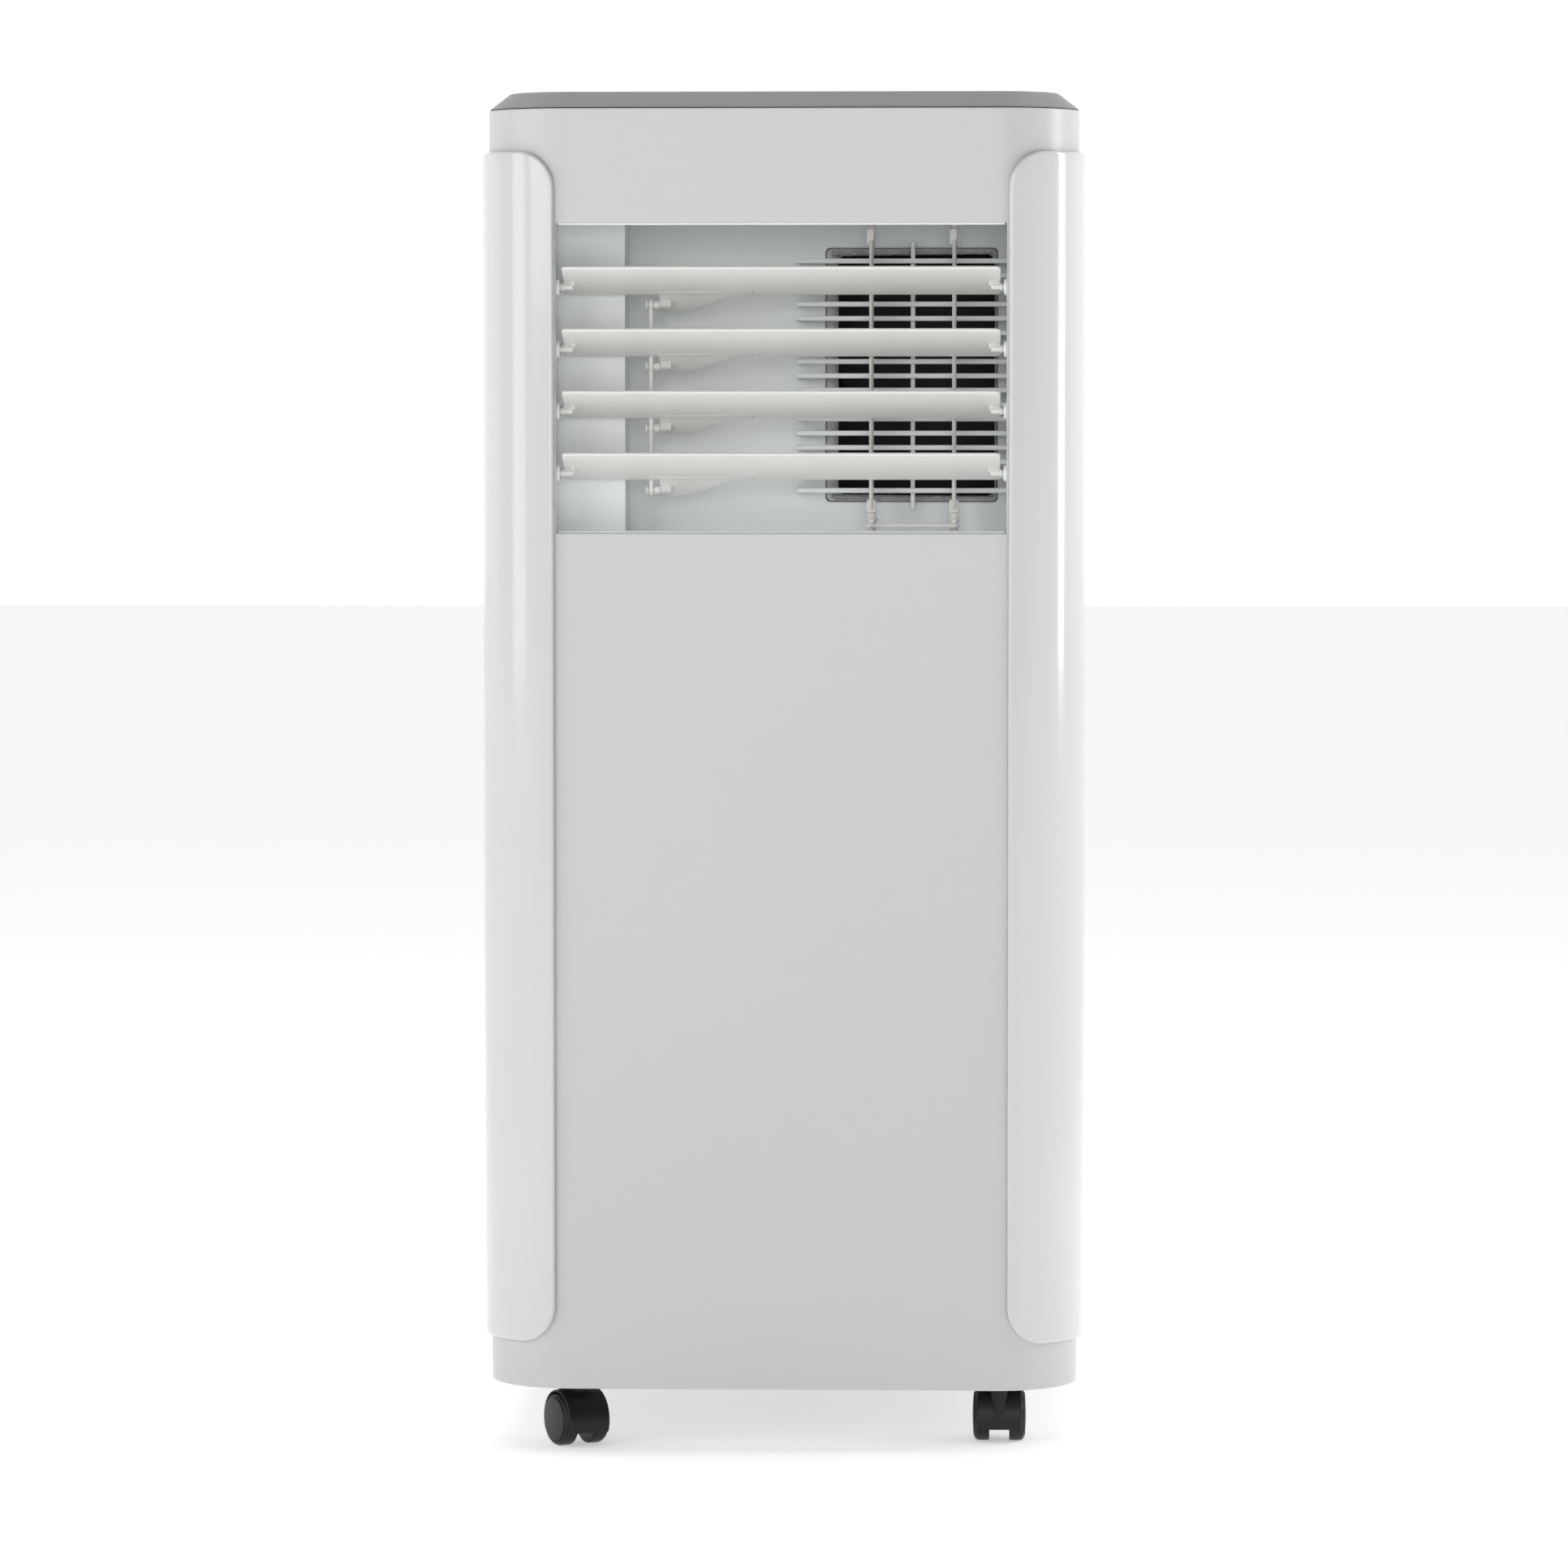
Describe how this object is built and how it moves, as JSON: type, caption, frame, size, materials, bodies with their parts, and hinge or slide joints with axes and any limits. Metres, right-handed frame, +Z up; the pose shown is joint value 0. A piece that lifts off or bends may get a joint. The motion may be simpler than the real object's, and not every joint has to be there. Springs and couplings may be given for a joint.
{
  "type": "portable_air_conditioner",
  "caption": "Tall white portable air conditioner on casters, with tilting front louvres, swinging vanes, corner pillars, a chamfered top and rear filters.",
  "frame": {"origin": "on the floor under the middle of the casing", "axes": "X to the right seen from the front, Y from front to back, Z up"},
  "size_m": [0.311, 0.3316, 0.696],
  "materials": {
    "shell_white": "fine moulded texture, satin",
    "pillar_gloss": "polished white",
    "cover_grey": "satin grey",
    "vane_white": "smooth warm white",
    "caster_black": "satin black",
    "panel_black": "smooth dark panel",
    "lens_dark": "smoked display window",
    "button_white": "smooth",
    "board_green": "circuit board",
    "housing_black": "moulded",
    "zinc_sheet": "zinc plated sheet",
    "motor_metal": "plain",
    "black_paint": "gloss paint",
    "copper_tube": "bare copper",
    "fin_aluminium": "bare fins",
    "rubber_black": "matt"
  },
  "bodies": {
    "casing": {"front_panel": "shell_white", "rear_panel": "shell_white", "top_cover": "cover_grey", "left_pillar": "pillar_gloss", "right_pillar": "pillar_gloss", "left_grip_cup": "cover_grey", "right_grip_cup": "cover_grey", "control_panel": "panel_black", "display_lens": "lens_dark", "control_board": "board_green", "outlet_recess": "shell_white", "outlet_grille": "shell_white", "swing_motor": "motor_metal", "exhaust_collar": "shell_white", "cord_gland": "rubber_black", "base_pan": "zinc_sheet", "outlet_blower_scroll": "housing_black", "outlet_blower_motor": "motor_metal", "exhaust_blower_scroll": "housing_black", "exhaust_blower_motor": "motor_metal", "evaporator_coil": "fin_aluminium", "condenser_coil": "fin_aluminium", "drip_tray": "housing_black", "compressor": "black_paint", "compressor_foot_1": "rubber_black", "compressor_foot_2": "rubber_black", "compressor_foot_3": "rubber_black", "accumulator": "black_paint", "discharge_pipe": "copper_tube", "suction_pipe": "copper_tube", "capillary_tube": "copper_tube", "control_box": "zinc_sheet"},
    "power_button": {"power_button": "button_white"},
    "mode_button": {"mode_button": "button_white"},
    "fan_speed_button": {"fan_speed_button": "button_white"},
    "temp_down_button": {"temp_down_button": "button_white"},
    "temp_up_button": {"temp_up_button": "button_white"},
    "timer_button": {"timer_button": "button_white"},
    "louvre_1": {"louvre_1": "vane_white"},
    "louvre_2": {"louvre_2": "vane_white"},
    "louvre_3": {"louvre_3": "vane_white"},
    "louvre_4": {"louvre_4": "vane_white"},
    "louvre_link": {"louvre_link": "vane_white"},
    "left_vane": {"left_vane": "vane_white"},
    "right_vane": {"right_vane": "vane_white"},
    "vane_link": {"vane_link": "vane_white"},
    "upper_filter_cassette": {"upper_filter_cassette": "shell_white"},
    "lower_filter_cassette": {"lower_filter_cassette": "shell_white"},
    "upper_drain_plug": {"upper_drain_plug": "rubber_black"},
    "lower_drain_plug": {"lower_drain_plug": "rubber_black"},
    "outlet_blower_wheel": {"outlet_blower_wheel": "housing_black"},
    "exhaust_blower_wheel": {"exhaust_blower_wheel": "housing_black"},
    "front_left_caster_hood": {"front_left_caster_hood": "caster_black"},
    "front_left_caster_wheels": {"front_left_caster_wheels": "caster_black"},
    "front_right_caster_hood": {"front_right_caster_hood": "caster_black"},
    "front_right_caster_wheels": {"front_right_caster_wheels": "caster_black"},
    "rear_left_caster_hood": {"rear_left_caster_hood": "caster_black"},
    "rear_left_caster_wheels": {"rear_left_caster_wheels": "caster_black"},
    "rear_right_caster_hood": {"rear_right_caster_hood": "caster_black"},
    "rear_right_caster_wheels": {"rear_right_caster_wheels": "caster_black"}
  },
  "joints": [
    {"name": "louvre_1_tilt", "type": "hinge", "parent": "casing", "child": "louvre_1", "pos_m": [0, -0.153, 0.5964], "axis": [1, 0, 0], "range_deg": [-4, 109]},
    {"name": "louvre_2_tilt", "type": "hinge", "parent": "casing", "child": "louvre_2", "pos_m": [0, -0.153, 0.5648], "axis": [1, 0, 0], "range_deg": [-4, 109]},
    {"name": "louvre_3_tilt", "type": "hinge", "parent": "casing", "child": "louvre_3", "pos_m": [0, -0.153, 0.5332], "axis": [1, 0, 0], "range_deg": [-4, 109]},
    {"name": "louvre_4_tilt", "type": "hinge", "parent": "casing", "child": "louvre_4", "pos_m": [0, -0.153, 0.5016], "axis": [1, 0, 0], "range_deg": [-4, 109]},
    {"name": "louvre_link_swing", "type": "hinge", "parent": "louvre_1", "child": "louvre_link", "pos_m": [-0.0678, -0.134, 0.5876], "axis": [1, 0, 0], "range_deg": [-109, 4]},
    {"name": "left_vane_turn", "type": "hinge", "parent": "casing", "child": "left_vane", "pos_m": [0.0452, -0.124, 0.55], "axis": [0, 0, 1], "range_deg": [-38, 38]},
    {"name": "right_vane_turn", "type": "hinge", "parent": "casing", "child": "right_vane", "pos_m": [0.0878, -0.124, 0.55], "axis": [0, 0, 1], "range_deg": [-38, 38]},
    {"name": "vane_link_swing", "type": "hinge", "parent": "left_vane", "child": "vane_link", "pos_m": [0.0452, -0.1315, 0.4745], "axis": [0, 0, 1], "range_deg": [-38, 38]},
    {"name": "power_press", "type": "slide", "parent": "casing", "child": "power_button", "axis": [0, 0, -1], "range_m": [0, 0.0012], "stiffness_N_per_m": 300, "springref_m": -0.0006},
    {"name": "mode_press", "type": "slide", "parent": "casing", "child": "mode_button", "axis": [0, 0, -1], "range_m": [0, 0.0012], "stiffness_N_per_m": 300, "springref_m": -0.0006},
    {"name": "fan_speed_press", "type": "slide", "parent": "casing", "child": "fan_speed_button", "axis": [0, 0, -1], "range_m": [0, 0.0012], "stiffness_N_per_m": 300, "springref_m": -0.0006},
    {"name": "temp_down_press", "type": "slide", "parent": "casing", "child": "temp_down_button", "axis": [0, 0, -1], "range_m": [0, 0.0012], "stiffness_N_per_m": 300, "springref_m": -0.0006},
    {"name": "temp_up_press", "type": "slide", "parent": "casing", "child": "temp_up_button", "axis": [0, 0, -1], "range_m": [0, 0.0012], "stiffness_N_per_m": 300, "springref_m": -0.0006},
    {"name": "timer_press", "type": "slide", "parent": "casing", "child": "timer_button", "axis": [0, 0, -1], "range_m": [0, 0.0012], "stiffness_N_per_m": 300, "springref_m": -0.0006},
    {"name": "upper_filter_pull", "type": "slide", "parent": "casing", "child": "upper_filter_cassette", "axis": [0, 1, 0], "range_m": [0, 0.03]},
    {"name": "lower_filter_pull", "type": "slide", "parent": "casing", "child": "lower_filter_cassette", "axis": [0, 1, 0], "range_m": [0, 0.03]},
    {"name": "upper_drain_pull", "type": "slide", "parent": "casing", "child": "upper_drain_plug", "axis": [0, 1, 0], "range_m": [0, 0.016]},
    {"name": "lower_drain_pull", "type": "slide", "parent": "casing", "child": "lower_drain_plug", "axis": [0, 1, 0], "range_m": [0, 0.016]},
    {"name": "outlet_blower_spin", "type": "hinge", "parent": "casing", "child": "outlet_blower_wheel", "pos_m": [-0.03, -0.055, 0.545], "axis": [0, 1, 0], "continuous": true},
    {"name": "exhaust_blower_spin", "type": "hinge", "parent": "casing", "child": "exhaust_blower_wheel", "pos_m": [-0.042, 0.044, 0.3], "axis": [0, 1, 0], "continuous": true},
    {"name": "front_left_swivel", "type": "hinge", "parent": "casing", "child": "front_left_caster_hood", "pos_m": [-0.112, -0.1365, 0.03], "axis": [0, 0, 1], "continuous": true},
    {"name": "front_left_roll", "type": "hinge", "parent": "front_left_caster_hood", "child": "front_left_caster_wheels", "pos_m": [-0.10633, -0.14593, 0.0135], "axis": [-0.8572, -0.515, 0], "continuous": true},
    {"name": "front_right_swivel", "type": "hinge", "parent": "casing", "child": "front_right_caster_hood", "pos_m": [0.112, -0.1365, 0.03], "axis": [0, 0, 1], "continuous": true},
    {"name": "front_right_roll", "type": "hinge", "parent": "front_right_caster_hood", "child": "front_right_caster_wheels", "pos_m": [0.112, -0.1255, 0.0135], "axis": [1, 0, 0], "continuous": true},
    {"name": "rear_left_swivel", "type": "hinge", "parent": "casing", "child": "rear_left_caster_hood", "pos_m": [-0.112, 0.1365, 0.03], "axis": [0, 0, 1], "continuous": true},
    {"name": "rear_left_roll", "type": "hinge", "parent": "rear_left_caster_hood", "child": "rear_left_caster_wheels", "pos_m": [-0.11647, 0.14655, 0.0135], "axis": [0.9135, 0.4067, 0], "continuous": true},
    {"name": "rear_right_swivel", "type": "hinge", "parent": "casing", "child": "rear_right_caster_hood", "pos_m": [0.112, 0.1365, 0.03], "axis": [0, 0, 1], "continuous": true},
    {"name": "rear_right_roll", "type": "hinge", "parent": "rear_right_caster_hood", "child": "rear_right_caster_wheels", "pos_m": [0.11522, 0.14702, 0.0135], "axis": [0.9563, -0.2924, 0], "continuous": true}
  ],
  "couplings": [
    {"joint": "louvre_2_tilt", "follows": "louvre_1_tilt", "ratio": 1},
    {"joint": "louvre_3_tilt", "follows": "louvre_1_tilt", "ratio": 1},
    {"joint": "louvre_4_tilt", "follows": "louvre_1_tilt", "ratio": 1},
    {"joint": "louvre_link_swing", "follows": "louvre_1_tilt", "ratio": -1},
    {"joint": "right_vane_turn", "follows": "left_vane_turn", "ratio": 1},
    {"joint": "vane_link_swing", "follows": "left_vane_turn", "ratio": -1}
  ]
}
